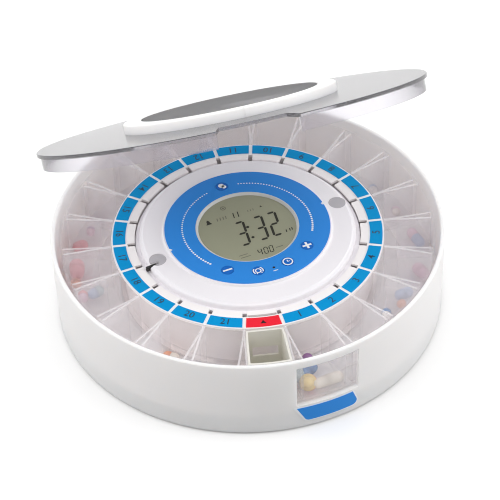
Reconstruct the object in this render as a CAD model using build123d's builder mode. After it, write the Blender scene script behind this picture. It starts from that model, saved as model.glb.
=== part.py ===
from build123d import *
from math import cos, pi, radians, sin, tan
import os

# Automatic pill dispenser: a round tub with a motor-driven ring of dose pockets around a
# fixed control housing, under a hinged lid. Millimetres, +Z up. The origin is on the axis
# of the tub, in the plane that the feet stand on. The lid's hinge is at the back, along X,
# so the front is -Y. Azimuths are measured at the front (-Y) and grow towards +X.
# The lid is modelled open, at its rest angle.

os.makedirs("parts", exist_ok=True)

# ---- fits and clearances ----
play = 0.25  # between pieces that only sit beside each other
snug = 0.05  # between pieces that fit together
running = 0.05  # radial clearance of a shaft in its bore

# ---- tub ----
rim_radius = 110.0
rim_height = 52.0
foot_gap = 1.0  # the underside stands this far off the table on its feet
wall_lean = 1.1  # the outer wall is this much smaller at its foot
wall = 2.4
rim_chamfer = 0.5
floor_top = 14.6
floor_thickness = 2.4
core_radius = 57.5  # hole in the floor under the control housing
guide_radius = 67.9  # outside of the ring that centres the tray
guide_thickness = 1.9
guide_height = 6.9
runner_radius = 89.0  # raised track that the tray floor slides on
runner_width = 2.5
tray_lift = 0.2  # running gap over the track

# ---- tray of dose pockets ----
compartments = 22
dose_azimuth = 5.2  # pocket 1, the window and the display all face this way
tray_gap = 1.6  # between the tray and the tub wall, at the wall's foot
tray_radius = rim_radius - wall - wall_lean - tray_gap
tray_wall = 1.2
tray_floor = 16.0
tray_floor_thickness = 1.5
carrier_top = 47.8
flange_thickness = 1.4
flange_radius = 76.2
flange_bore = 63.2
pocket_radius = 76.9  # inner wall of the pockets
skirt_radius = 70.0  # outside of the carrier's hanging wall
skirt_wall = 2.0
divider_wall = 1.1
divider_root = 1.6  # thickness where two pocket walls run as one
divider_split = 82.0  # radius at which they part
divider_spread = 5.8  # width over both walls at the outer end
notch_width = 2.4
notch_depth = 4.1
label_inner = 68.4
label_outer = 75.4
label_gap = 2.0
label_thickness = 0.35

# ---- drive ----
ring_module = 1.5
ring_teeth = 88
drive_teeth = 16
step_teeth = 20
wheel_module = 1.0
wheel_teeth = 44
motor_teeth = 12
gear_bottom = 23.8
gear_width = 6.0
wheel_bottom = 31.0
wheel_width = 3.0
backlash = 0.45
pressure_slope = tan(radians(20))
post_radius = 1.5
shaft_radius = 1.0
motor_azimuth = -175.0  # direction of the motor, seen from the step gear

# ---- control housing ----
housing_radius = 60.5
housing_wall = 2.0
shoulder_height = 50.9
shoulder_drop = 0.5
plateau_radius = 47.2
plateau_height = 52.6
housing_foot_radius = 65.4
housing_foot_height = 2.0
overlay_radius = 46.3
overlay_thickness = 0.4
ledge_radius = 62.8  # ledge that closes the gap inside the tray's flange
ledge_top = 46.0
ledge_thickness = 1.4
display_radius = 27.4
bezel_width = 1.5
display_drop = 1.2
key_radius = 3.4
key_ring = 37.0
key_travel = 0.4
key_azimuths = {
    "key_minus": -40.0,
    "key_alarm": -13.8,
    "key_clock": 13.8,
    "key_plus": 40.0,
    "key_mode": 180.0,
}
dimple_radius = 4.9
dimple_ring = 54.7
dimple_azimuths = (-88.0, 89.5)
slot_width = 2.0
slot_start = 55.0
slot_length = 8.0
board_radius = 53.0
board_bottom = 45.4
board_thickness = 1.6
chassis_radius = 58.2
chassis_bottom = 20.8
chassis_thickness = 2.0
switch_size = 6.0
switch_plunger = 1.6
buzzer_radius = 7.0
buzzer_height = 4.5
buzzer_place = (22.0, 26.0)
sensor_size = (7.0, 5.0, 1.5)

# ---- window and label in the wall ----
window_arc = 19.2
window_bottom = 18.0
window_top = 47.0
badge_bottom = 6.0
badge_height = 10.3
badge_lean = 3.8  # the lower edge is moved this far towards +X
badge_corner = 3.0
badge_thickness = 0.3

# ---- lid ----
lid_open = 36.0  # angle above closed, at rest
hinge_inset = 0.3  # of the hinge from the tub's rim
hinge_drop = 0.9
hinge_y = rim_radius - hinge_inset
hinge_z = rim_height - hinge_drop
lid_inset = 1.4
lid_radius = rim_radius - lid_inset
lid_thickness = 2.0
lid_gap = 0.3  # plate over the rim when closed
lid_skirt_gap = 0.8  # from the skirt to the inside of the rim
lid_skirt_radius = rim_radius - wall - lid_skirt_gap
lid_skirt_wall = 1.1
lid_skirt_depth = 7.2
lid_bore = 56.8
drum_radius = 59.2
drum_height = 5.4
drum_wall = 1.8
lens_radius = 49.2
lens_thickness = 1.6
spout_start = -17.7  # dispensing notch in the lid, azimuths from the lid's front
spout_end = 5.8
spout_radius = 88.0
hinge_clear_angle = 42.0  # the lid's skirt stops this far from the back
pin_radius = 1.25
barrel_radius = 2.8
barrel_half = 17.6
ear_radius = 3.2
ear_width = 6.0
hinge_side_gap = 0.4

# ---- underside ----
cover_play = 0.3
cover_radius = rim_radius - wall_lean - wall - cover_play
cover_thickness = 2.0
cover_screw_inset = 7.2
cover_screw_ring = cover_radius - cover_screw_inset
bay_length = 105.2
bay_width = 30.2
bay_height = 16.1
bay_wall = 1.4
cell_radius = 7.1
cell_length = 49.0
foot_radius = 7.0
foot_thickness = 1.5
foot_inset = 15.2
foot_ring = cover_radius - foot_inset

# ---- screws ----
screw_radius = 1.2
screw_head = 2.8
screw_head_height = 1.1
cover_screw_length = 8.0
door_screw_length = 5.5
motor_screw_length = 2.8
board_screw_length = 3.4
housing_screw_length = 7.5
housing_screw_head = 2.2

pitch = 360.0 / compartments
cover_top = foot_gap + cover_thickness
floor_bottom = floor_top - floor_thickness
pocket_floor = tray_floor + tray_floor_thickness
flange_bottom = carrier_top - flange_thickness
divider_top = carrier_top - 0.2
ring_pitch_radius = ring_module * ring_teeth / 2
drive_pitch_radius = ring_module * drive_teeth / 2
step_pitch_radius = ring_module * step_teeth / 2
wheel_pitch_radius = wheel_module * wheel_teeth / 2
motor_pitch_radius = wheel_module * motor_teeth / 2
panel_top = plateau_height + overlay_thickness
board_top = board_bottom + board_thickness


def heading(azimuth):
    """Angle about +Z from +X of an azimuth, which starts at the front and grows towards +X."""
    return azimuth - 90.0


def at(radius, azimuth):
    """Point on a circle, in the plane of a sketch that is square to the axis."""
    angle = radians(heading(azimuth))
    return (radius * cos(angle), radius * sin(angle))


def radial_plane(azimuth, frame=Plane.XY):
    """Plane through the frame's axis: its x runs outward at the azimuth, its y along the axis."""
    angle = radians(heading(azimuth))
    outward = frame.x_dir * cos(angle) + frame.y_dir * sin(angle)
    across = frame.x_dir * sin(angle) - frame.y_dir * cos(angle)
    return Plane(origin=frame.origin, x_dir=outward, z_dir=across)


def wall_radius(height):
    """Outer radius of the leaning tub wall at a height."""
    return rim_radius - wall_lean * (rim_height - height) / (rim_height - foot_gap)


def tooth_points(teeth, module, phase, tip_side):
    """Outline of a gear with straight flanks. tip_side is 1 for an outer gear, -1 for a ring."""
    pitch_radius = module * teeth / 2
    half = (pi * module / 2 - backlash) / 2
    root = pitch_radius - tip_side * 1.2 * module
    tip = pitch_radius + tip_side * 1.0 * module
    root_half = half + 1.2 * module * pressure_slope
    tip_half = half - 1.0 * module * pressure_slope
    points = []
    for tooth in range(teeth):
        centre = radians(phase) + 2 * pi * tooth / teeth
        for radius, offset in ((root, -root_half), (tip, -tip_half), (tip, tip_half), (root, root_half)):
            angle = centre + offset / radius
            points.append((radius * cos(angle), radius * sin(angle)))
    return points


# The lid's own frame: heights and radii in it are those of the closed lid.
lean = radians(lid_open)
lid_frame = Plane(
    origin=(
        0,
        hinge_y - hinge_y * cos(lean) - hinge_z * sin(lean),
        hinge_z + hinge_y * sin(lean) - hinge_z * cos(lean),
    ),
    x_dir=(1, 0, 0),
    z_dir=(0, sin(lean), cos(lean)),
)
lid_axis = Axis(lid_frame.origin, lid_frame.z_dir)
lid_side = Plane(origin=lid_frame.origin, x_dir=lid_frame.y_dir, z_dir=lid_frame.x_dir)
lid_bottom = rim_height + lid_gap
lid_top = lid_bottom + lid_thickness
drum_top = lid_top + drum_height

# ---- tub: outer wall, raised floor, centring ring and hinge ears in one moulding ----
screw_azimuths = [60.0 * turn + 30.0 for turn in range(6)]
housing_screw_azimuths = [90.0 * turn + 45.0 for turn in range(4)]
housing_screw_ring = housing_foot_radius - 2.4
boss_radius = 3.2
ear_inner = hinge_y - 3.4
ear_foot = 38.0
hinge_half = barrel_half + hinge_side_gap + ear_width

with BuildPart() as base_tub:
    with BuildSketch(Plane.XZ) as tub_section:
        with BuildLine():
            Polyline(
                (wall_radius(foot_gap) - rim_chamfer, foot_gap),
                (wall_radius(foot_gap + rim_chamfer), foot_gap + rim_chamfer),
                (wall_radius(rim_height - rim_chamfer), rim_height - rim_chamfer),
                (rim_radius - rim_chamfer, rim_height),
                (rim_radius - wall + rim_chamfer, rim_height),
                (rim_radius - wall, rim_height - rim_chamfer),
                (wall_radius(floor_top) - wall, floor_top),
                (runner_radius + runner_width, floor_top),
                (runner_radius + runner_width, tray_floor - tray_lift),
                (runner_radius, tray_floor - tray_lift),
                (runner_radius, floor_top),
                (guide_radius, floor_top),
                (guide_radius, floor_top + guide_height),
                (guide_radius - guide_thickness, floor_top + guide_height),
                (guide_radius - guide_thickness, floor_top),
                (core_radius, floor_top),
                (core_radius, floor_bottom),
                (wall_radius(floor_bottom) - wall, floor_bottom),
                (wall_radius(foot_gap) - wall, foot_gap),
                close=True,
            )
        make_face()
    revolve(axis=Axis.Z)
    with BuildSketch(Plane.XY.offset(cover_top)) as cover_bosses:
        with Locations(*[at(cover_screw_ring, a) for a in screw_azimuths]):
            Circle(boss_radius)
            Circle(screw_radius + snug, mode=Mode.SUBTRACT)
    extrude(amount=floor_bottom - cover_top)
    with BuildSketch(Plane.XY.offset(floor_top)) as housing_bosses:
        with Locations(*[at(housing_screw_ring, a) for a in housing_screw_azimuths]):
            Circle(boss_radius)
    extrude(amount=-floor_thickness - 4.0)
    with BuildSketch(Plane.XY.offset(floor_top)) as housing_screw_holes:
        with Locations(*[at(housing_screw_ring, a) for a in housing_screw_azimuths]):
            Circle(screw_radius + snug)
    extrude(amount=-floor_thickness - 4.0, mode=Mode.SUBTRACT)
    for start in (hinge_half - ear_width, -hinge_half):
        with BuildSketch(Plane.YZ.offset(start)) as ear:
            with Locations((hinge_y, hinge_z)):
                Circle(ear_radius)
            with Locations((ear_inner, ear_foot)):
                Rectangle(1.0, 11.0, align=(Align.MIN, Align.MIN))
            make_hull()
        extrude(amount=ear_width)
    with BuildSketch(Plane.YZ.offset(-hinge_half)) as pin_holes:
        with Locations((hinge_y, hinge_z)):
            Circle(pin_radius + snug)
    extrude(amount=2 * hinge_half, mode=Mode.SUBTRACT)
    with BuildSketch(Plane.XZ.offset(-rim_radius - wall)) as barrel_notch:
        with Locations((0, hinge_z - barrel_radius - 0.8)):
            Rectangle(2 * (hinge_half - ear_width), rim_height, align=(Align.CENTER, Align.MIN))
    extrude(amount=4 * wall, mode=Mode.SUBTRACT)
    with BuildSketch(radial_plane(dose_azimuth - window_arc / 2)) as window_cut:
        with Locations((rim_radius, window_bottom)):
            Rectangle(4 * wall, window_top - window_bottom, align=(Align.CENTER, Align.MIN))
    revolve(axis=Axis.Z, revolution_arc=window_arc, mode=Mode.SUBTRACT)
base_tub.part.label = "base_tub"
export_step(base_tub.part, "parts/base_tub.step")

# ---- clear window that fills the hole in the wall ----
window_side_gap = 0.06  # degrees
window_inset = 0.3
with BuildPart() as wall_window:
    with BuildSketch(radial_plane(dose_azimuth - window_arc / 2 + window_side_gap)):
        with BuildLine():
            Polyline(
                (wall_radius(window_bottom) - window_inset, window_bottom + snug),
                (wall_radius(window_top) - window_inset, window_top - snug),
                (wall_radius(window_top) - wall + window_inset, window_top - snug),
                (wall_radius(window_bottom) - wall + window_inset, window_bottom + snug),
                close=True,
            )
        make_face()
    revolve(axis=Axis.Z, revolution_arc=window_arc - 2 * window_side_gap)
wall_window.part.label = "wall_window"
export_step(wall_window.part, "parts/wall_window.step")

# ---- blank adhesive badge below the window ----
badge_top = badge_bottom + badge_height
badge_lift = 0.02
badge_half = pi * wall_radius(badge_top) * window_arc / 360
badge_plan = [
    (-badge_half, badge_top),
    (1.4 * badge_lean - badge_half, badge_bottom),
    (badge_half, badge_bottom),
    (badge_half - badge_lean, badge_top),
]
badge_plane = Plane(
    origin=(*at(rim_radius - 4 * wall, dose_azimuth), 0),
    x_dir=(-sin(radians(heading(dose_azimuth))), cos(radians(heading(dose_azimuth))), 0),
    z_dir=(*at(1, dose_azimuth), 0),
)
with BuildPart() as window_badge:
    with BuildSketch(radial_plane(dose_azimuth - window_arc)):
        with BuildLine():
            Polyline(
                (wall_radius(badge_bottom) + badge_lift, badge_bottom),
                (wall_radius(badge_bottom) + badge_thickness, badge_bottom),
                (wall_radius(badge_top) + badge_thickness, badge_top),
                (wall_radius(badge_top) + badge_lift, badge_top),
                close=True,
            )
        make_face()
    revolve(axis=Axis.Z, revolution_arc=2 * window_arc)
    with BuildSketch(badge_plane):
        Polygon(*badge_plan, align=None)
        fillet(vertices().group_by(Axis.Y)[0], badge_corner)
    extrude(amount=8 * wall, mode=Mode.INTERSECT)
window_badge.part.label = "window_badge"
export_step(window_badge.part, "parts/window_badge.step")

# ---- bottom cover with the battery bay moulded into it ----
door_gap = 0.2
door_margin = 0.4  # the door is this much wider than the bay on each side
door_tab = (12.0, 9.0)
tab_end = -(bay_length / 2 + door_margin + door_tab[1])
tab_screw_y = tab_end + door_tab[1] / 2
foot_azimuths = [90.0 * turn + 45.0 for turn in range(4)]
cover_seat = foot_gap + cover_thickness * 0.6  # the screw heads bear here
with BuildPart() as bottom_cover:
    with BuildSketch(Plane.XY.offset(foot_gap)):
        Circle(cover_radius)
    extrude(amount=cover_thickness)
    with BuildSketch(Plane.XY.offset(cover_top)):
        RectangleRounded(bay_width + 2 * bay_wall, bay_length + 2 * bay_wall, 3.0)
    extrude(amount=bay_height + bay_wall)
    with BuildSketch(Plane.XY.offset(cover_top)):
        with Locations((0, tab_screw_y)):
            Rectangle(door_tab[0] + 4.0, door_tab[1] + 4.0)
    extrude(amount=6.0)
    with BuildSketch(Plane.XY.offset(foot_gap)):
        RectangleRounded(bay_width + 2 * door_margin + door_gap, bay_length + 2 * door_margin + door_gap, 1.5)
        with Locations((0, tab_end - door_gap / 2)):
            Rectangle(door_tab[0] + door_gap, 2 * door_tab[1], align=(Align.CENTER, Align.MIN))
    extrude(amount=cover_thickness, mode=Mode.SUBTRACT)
    with BuildSketch(Plane.XY.offset(cover_top)):
        RectangleRounded(bay_width, bay_length, 1.0)
    extrude(amount=bay_height, mode=Mode.SUBTRACT)
    with BuildSketch(Plane.XY.offset(cover_top)):
        with Locations((0, tab_screw_y)):
            Circle(screw_radius + snug)
    extrude(amount=6.0, mode=Mode.SUBTRACT)
    with BuildSketch(Plane.XY.offset(foot_gap)):
        with Locations(*[at(cover_screw_ring, a) for a in screw_azimuths]):
            Circle(screw_radius + play)
    extrude(amount=cover_thickness, mode=Mode.SUBTRACT)
    with BuildSketch(Plane.XY.offset(foot_gap)):
        with Locations(*[at(cover_screw_ring, a) for a in screw_azimuths]):
            Circle(screw_head + play)
    extrude(amount=cover_seat - foot_gap, mode=Mode.SUBTRACT)
    with BuildSketch(Plane.XY.offset(foot_gap)):
        with Locations(*[at(foot_ring, a) for a in foot_azimuths]):
            Circle(foot_radius + snug)
    extrude(amount=foot_thickness - foot_gap, mode=Mode.SUBTRACT)
bottom_cover.part.label = "bottom_cover"
export_step(bottom_cover.part, "parts/bottom_cover.step")

with BuildPart() as rubber_feet:
    with BuildSketch(Plane.XY):
        with Locations(*[at(foot_ring, a) for a in foot_azimuths]):
            Circle(foot_radius)
    extrude(amount=foot_thickness)
    chamfer(edges().group_by(Axis.Z)[0], 0.4)
rubber_feet.part.label = "rubber_feet"
export_step(rubber_feet.part, "parts/rubber_feet.step")


def add_screws(places, head_height, head_direction, length):
    """Pan-head screws in the open part: heads from head_height, shanks away from them."""
    with BuildSketch(Plane.XY.offset(head_height)) as heads:
        with Locations(*places):
            Circle(screw_head)
    extrude(heads.sketch, amount=head_direction * screw_head_height)
    with BuildSketch(Plane.XY.offset(head_height)) as shanks:
        with Locations(*places):
            Circle(screw_radius)
    extrude(shanks.sketch, amount=-head_direction * length)


with BuildPart() as cover_screws:
    add_screws([at(cover_screw_ring, a) for a in screw_azimuths], cover_seat, -1, cover_screw_length)
cover_screws.part.label = "cover_screws"
export_step(cover_screws.part, "parts/cover_screws.step")

with BuildPart() as battery_door:
    with BuildSketch(Plane.XY.offset(foot_gap)):
        RectangleRounded(bay_width + 2 * door_margin - door_gap, bay_length + 2 * door_margin - door_gap, 1.4)
        with Locations((0, tab_end + door_gap / 2)):
            Rectangle(door_tab[0] - door_gap, 2 * door_tab[1], align=(Align.CENTER, Align.MIN))
    extrude(amount=cover_thickness)
    with BuildSketch(Plane.XY.offset(foot_gap)):
        with Locations((0, tab_screw_y)):
            Circle(screw_radius + play)
    extrude(amount=cover_thickness, mode=Mode.SUBTRACT)
    with BuildSketch(Plane.XY.offset(foot_gap)):
        with Locations((0, tab_screw_y)):
            Circle(screw_head + play)
    extrude(amount=cover_seat - foot_gap, mode=Mode.SUBTRACT)
battery_door.part.label = "battery_door"
export_step(battery_door.part, "parts/battery_door.step")

with BuildPart() as door_screw:
    add_screws([(0, tab_screw_y)], cover_seat, -1, door_screw_length)
door_screw.part.label = "door_screw"
export_step(door_screw.part, "parts/door_screw.step")

# ---- four cells, two in line in each row ----
cell_height = cover_top + bay_height / 2
nub_radius = 2.7
nub_length = 1.4
cell_spacing = bay_width / 4
cell_start = 1.0
with BuildPart() as battery_cells:
    for y, side in ((cell_start, 1), (-cell_start, -1)):
        with BuildSketch(Plane.XZ.offset(-y)):
            with Locations((cell_spacing, cell_height), (-cell_spacing, cell_height)):
                Circle(cell_radius)
        extrude(amount=-side * cell_length)
        with BuildSketch(Plane.XZ.offset(-y - side * cell_length)):
            with Locations((cell_spacing, cell_height), (-cell_spacing, cell_height)):
                Circle(nub_radius)
        extrude(amount=-side * nub_length)
battery_cells.part.label = "battery_cells"
export_step(battery_cells.part, "parts/battery_cells.step")

contact_thickness = 0.5
with BuildPart() as battery_contacts:
    for side in (1, -1):
        with BuildSketch(Plane.XZ.offset(-side * bay_length / 2)):
            with Locations((cell_spacing, cell_height), (-cell_spacing, cell_height)):
                Rectangle(cell_radius, cell_radius)
        extrude(amount=side * contact_thickness)
battery_contacts.part.label = "battery_contacts"
export_step(battery_contacts.part, "parts/battery_contacts.step")

# ---- gear chassis: a cup turned over the battery bay, resting on the tub floor ----
drive_axis_x = -(ring_pitch_radius - drive_pitch_radius)
step_axis_x = drive_axis_x + drive_pitch_radius + step_pitch_radius
motor_reach = wheel_pitch_radius + motor_pitch_radius
motor_x = step_axis_x + motor_reach * cos(radians(heading(motor_azimuth)))
motor_y = motor_reach * sin(radians(heading(motor_azimuth)))
post_seat = 0.7
motor_radius = 12.0
motor_height = 15.0
motor_screw_offset = 15.0
motor_ear = 1.0
chassis_top = chassis_bottom + chassis_thickness
with BuildPart() as gear_chassis:
    with BuildSketch(Plane.XZ):
        with BuildLine():
            Polyline(
                (0, chassis_bottom),
                (chassis_radius - housing_wall, chassis_bottom),
                (chassis_radius - housing_wall, floor_top),
                (chassis_radius, floor_top),
                (chassis_radius, chassis_top),
                (0, chassis_top),
                close=True,
            )
        make_face()
    revolve(axis=Axis.Z)
    with BuildSketch(Plane.XY.offset(chassis_top)):
        with Locations((drive_axis_x, 0), (step_axis_x, 0)):
            Circle(2 * post_radius)
    extrude(amount=post_seat)
    with BuildSketch(Plane.XY.offset(chassis_bottom)):
        with Locations((drive_axis_x, 0), (step_axis_x, 0)):
            Circle(post_radius + snug / 2)
        with Locations((motor_x, motor_y)):
            Circle(shaft_radius + play)
        with Locations((motor_x, motor_y - motor_screw_offset), (motor_x, motor_y + motor_screw_offset)):
            Circle(screw_radius + snug)
    extrude(amount=chassis_thickness + post_seat, mode=Mode.SUBTRACT)
gear_chassis.part.label = "gear_chassis"
export_step(gear_chassis.part, "parts/gear_chassis.step")

wheel_top = wheel_bottom + wheel_width
with BuildPart() as gear_posts:
    for x, top in ((drive_axis_x, gear_bottom + gear_width + 1.0), (step_axis_x, wheel_top + 1.0)):
        with BuildSketch(Plane.XY.offset(chassis_bottom)):
            with Locations((x, 0)):
                Circle(post_radius)
        extrude(amount=top - chassis_bottom)
gear_posts.part.label = "gear_posts"
export_step(gear_posts.part, "parts/gear_posts.step")

# ---- gear train ----
with BuildPart() as drive_gear:
    with BuildSketch(Plane((drive_axis_x, 0, gear_bottom))):
        with BuildLine():
            Polyline(*tooth_points(drive_teeth, ring_module, 180.0, 1), close=True)
        make_face()
        Circle(post_radius + running, mode=Mode.SUBTRACT)
    extrude(amount=gear_width)
drive_gear.part.label = "drive_gear"
export_step(drive_gear.part, "parts/drive_gear.step")

with BuildPart() as step_gear:
    with BuildSketch(Plane((step_axis_x, 0, gear_bottom))):
        with BuildLine():
            Polyline(*tooth_points(step_teeth, ring_module, 180.0 + 180.0 / step_teeth, 1), close=True)
        make_face()
    extrude(amount=gear_width)
    with BuildSketch(Plane((step_axis_x, 0, gear_bottom))):
        Circle(3 * post_radius)
    extrude(amount=wheel_top - gear_bottom)
    with BuildSketch(Plane((step_axis_x, 0, wheel_bottom))):
        with BuildLine():
            Polyline(*tooth_points(wheel_teeth, wheel_module, heading(motor_azimuth), 1), close=True)
        make_face()
    extrude(amount=wheel_width)
    with BuildSketch(Plane((step_axis_x, 0, gear_bottom))):
        Circle(post_radius + running)
    extrude(amount=wheel_top - gear_bottom, mode=Mode.SUBTRACT)
step_gear.part.label = "step_gear"
export_step(step_gear.part, "parts/step_gear.step")

motor_phase = heading(motor_azimuth) + 180.0 + 180.0 / motor_teeth
with BuildPart() as motor_pinion:
    with BuildSketch(Plane((motor_x, motor_y, wheel_bottom - 0.5))):
        with BuildLine():
            Polyline(*tooth_points(motor_teeth, wheel_module, motor_phase, 1), close=True)
        make_face()
        Circle(shaft_radius + snug / 2, mode=Mode.SUBTRACT)
    extrude(amount=wheel_width + 1.0)
motor_pinion.part.label = "motor_pinion"
export_step(motor_pinion.part, "parts/motor_pinion.step")

motor_bottom = chassis_bottom - motor_height
bearing_depth = 6.0
with BuildPart() as motor_shaft:
    with BuildSketch(Plane((motor_x, motor_y, chassis_bottom - bearing_depth + play))):
        Circle(shaft_radius)
    extrude(amount=bearing_depth - play + wheel_top + 1.0 - chassis_bottom)
motor_shaft.part.label = "motor_shaft"
export_step(motor_shaft.part, "parts/motor_shaft.step")

with BuildPart() as motor:
    with BuildSketch(Plane((motor_x, motor_y, motor_bottom))):
        Circle(motor_radius)
    extrude(amount=motor_height)
    with BuildSketch(Plane((motor_x, motor_y, chassis_bottom - motor_ear))):
        SlotCenterToCenter(2 * motor_screw_offset, 5 * screw_radius, rotation=90)
    extrude(amount=motor_ear)
    with BuildSketch(Plane((motor_x, motor_y, chassis_bottom))):
        Circle(shaft_radius + running)
    extrude(amount=-bearing_depth, mode=Mode.SUBTRACT)
    with BuildSketch(Plane((motor_x, motor_y, chassis_bottom))):
        with Locations((0, -motor_screw_offset), (0, motor_screw_offset)):
            Circle(screw_radius + snug)
    extrude(amount=-motor_ear, mode=Mode.SUBTRACT)
motor.part.label = "motor"
export_step(motor.part, "parts/motor.step")

with BuildPart() as motor_screws:
    add_screws(
        [(motor_x, motor_y - motor_screw_offset), (motor_x, motor_y + motor_screw_offset)],
        chassis_bottom - motor_ear,
        -1,
        motor_screw_length,
    )
motor_screws.part.label = "motor_screws"
export_step(motor_screws.part, "parts/motor_screws.step")

# ---- control housing ----
shoulder_edge = shoulder_height - shoulder_drop
mount_ring = 50.5
mount_azimuths = [90.0 * turn + 45.0 for turn in range(4)]
sensor_azimuth = dose_azimuth - 86.0
drive_window_half = drive_pitch_radius + ring_module + 0.6
with BuildPart() as control_housing:
    with BuildSketch(Plane.XZ):
        with BuildLine():
            Polyline(
                (housing_radius - housing_wall, floor_top),
                (housing_foot_radius, floor_top),
                (housing_foot_radius, floor_top + housing_foot_height),
                (housing_radius, floor_top + housing_foot_height),
                (housing_radius, ledge_top - ledge_thickness),
                (ledge_radius, ledge_top - ledge_thickness),
                (ledge_radius, ledge_top),
                (housing_radius, ledge_top),
                (housing_radius, shoulder_edge - 1.9),
                (housing_radius - 0.4, shoulder_edge - 1.1),
                (housing_radius - 1.4, shoulder_edge - 0.7),
                (housing_radius - 2.2, shoulder_edge),
                (plateau_radius + 1.0, shoulder_height),
                (plateau_radius + 0.3, shoulder_height + 0.3),
                (plateau_radius, plateau_height - 0.3),
                (plateau_radius - 0.3, plateau_height),
                (display_radius + bezel_width + snug, plateau_height),
                (display_radius + bezel_width + snug, plateau_height - housing_wall),
                (plateau_radius - housing_wall, plateau_height - housing_wall),
                (plateau_radius - housing_wall, shoulder_height - housing_wall),
                (housing_radius - housing_wall - 2.0, shoulder_edge - housing_wall),
                (housing_radius - housing_wall, shoulder_edge - housing_wall - 2.0),
                close=True,
            )
        make_face()
    revolve(axis=Axis.Z)
    with BuildSketch(Plane.XY.offset(board_top)):
        with Locations(*[at(mount_ring, a) for a in mount_azimuths]):
            Circle(boss_radius - 0.4)
    extrude(amount=shoulder_height - housing_wall - board_top)
    with BuildSketch(Plane.XY.offset(board_top)):
        with Locations(*[at(mount_ring, a) for a in mount_azimuths]):
            Circle(screw_radius + snug)
    extrude(amount=shoulder_height - housing_wall - board_top, mode=Mode.SUBTRACT)
    with BuildSketch(Plane.XY.offset(plateau_height)):
        with Locations(*[at(key_ring, dose_azimuth + a) for a in key_azimuths.values()]):
            Circle(key_radius + 0.15)
        with Locations(at(key_ring, dose_azimuth)):
            Circle(0.6)
    extrude(amount=-housing_wall, mode=Mode.SUBTRACT)
    with BuildSketch(Plane.XY.offset(shoulder_height)):
        with Locations(*[at(dimple_ring, dose_azimuth + a) for a in dimple_azimuths]):
            Circle(dimple_radius)
    extrude(amount=-0.9, mode=Mode.SUBTRACT)
    with BuildSketch(Plane.XY.offset(board_bottom + 1.0)):
        with Locations(Location((*at(slot_start, sensor_azimuth), 0), heading(sensor_azimuth))):
            Rectangle(slot_length, slot_width, align=(Align.MIN, Align.CENTER))
    extrude(amount=shoulder_height, mode=Mode.SUBTRACT)
    with BuildSketch(Plane.XY.offset(gear_bottom - play)):
        with Locations((-housing_radius, 0)):
            Rectangle(6 * housing_wall, 2 * drive_window_half, align=(Align.CENTER, Align.CENTER))
    extrude(amount=gear_width + 2 * play, mode=Mode.SUBTRACT)
    with BuildSketch(Plane.XY.offset(floor_top)):
        with Locations(*[at(housing_screw_ring, a) for a in housing_screw_azimuths]):
            Circle(screw_radius + play)
    extrude(amount=housing_foot_height, mode=Mode.SUBTRACT)
control_housing.part.label = "control_housing"
export_step(control_housing.part, "parts/control_housing.step")

with BuildPart() as housing_screws:
    with BuildSketch(Plane.XY.offset(floor_top + housing_foot_height)):
        with Locations(*[at(housing_screw_ring, a) for a in housing_screw_azimuths]):
            Circle(housing_screw_head)
    extrude(amount=screw_head_height)
    with BuildSketch(Plane.XY.offset(floor_top + housing_foot_height)):
        with Locations(*[at(housing_screw_ring, a) for a in housing_screw_azimuths]):
            Circle(screw_radius)
    extrude(amount=-housing_screw_length)
housing_screws.part.label = "housing_screws"
export_step(housing_screws.part, "parts/housing_screws.step")

with BuildPart() as panel_overlay:
    with BuildSketch(Plane.XY.offset(plateau_height)):
        Circle(overlay_radius)
        Circle(display_radius + bezel_width + snug, mode=Mode.SUBTRACT)
        with Locations(*[at(key_ring, dose_azimuth + a) for a in key_azimuths.values()]):
            Circle(key_radius + 0.15, mode=Mode.SUBTRACT)
        with Locations(at(key_ring, dose_azimuth)):
            Circle(0.6, mode=Mode.SUBTRACT)
        with Locations(at(overlay_radius, dose_azimuth - 90), at(overlay_radius, dose_azimuth + 90)):
            Circle(1.2, mode=Mode.SUBTRACT)
    extrude(amount=overlay_thickness)
panel_overlay.part.label = "panel_overlay"
export_step(panel_overlay.part, "parts/panel_overlay.step")

display_top = panel_top - display_drop
display_bottom = display_top - 1.8
with BuildPart() as display_bezel:
    with BuildSketch(Plane.XZ):
        with BuildLine():
            Polyline(
                (display_radius, display_bottom),
                (display_radius + bezel_width, display_bottom),
                (display_radius + bezel_width, panel_top),
                (display_radius + bezel_width - 0.4, panel_top),
                (display_radius, display_top + 0.1),
                close=True,
            )
        make_face()
    revolve(axis=Axis.Z)
display_bezel.part.label = "display_bezel"
export_step(display_bezel.part, "parts/display_bezel.step")

with BuildPart() as display_glass:
    with BuildSketch(Plane.XY.offset(display_bottom)):
        Circle(display_radius - snug)
    extrude(amount=display_top - display_bottom)
display_glass.part.label = "display_glass"
export_step(display_glass.part, "parts/display_glass.step")

with BuildPart() as display_module:
    with BuildSketch(Plane.XY.offset(board_top)):
        Circle(display_radius + bezel_width)
    extrude(amount=display_bottom - board_top)
display_module.part.label = "display_module"
export_step(display_module.part, "parts/display_module.step")

with BuildPart() as dimple_caps:
    with BuildSketch(Plane.XY.offset(shoulder_height - 0.9)):
        with Locations(*[at(dimple_ring, dose_azimuth + a) for a in dimple_azimuths]):
            Circle(dimple_radius - snug)
        with Locations(Location((*at(slot_start, sensor_azimuth), 0), heading(sensor_azimuth))):
            Rectangle(slot_length, slot_width + 0.2, align=(Align.MIN, Align.CENTER), mode=Mode.SUBTRACT)
    extrude(amount=0.3)
dimple_caps.part.label = "dimple_caps"
export_step(dimple_caps.part, "parts/dimple_caps.step")

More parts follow.
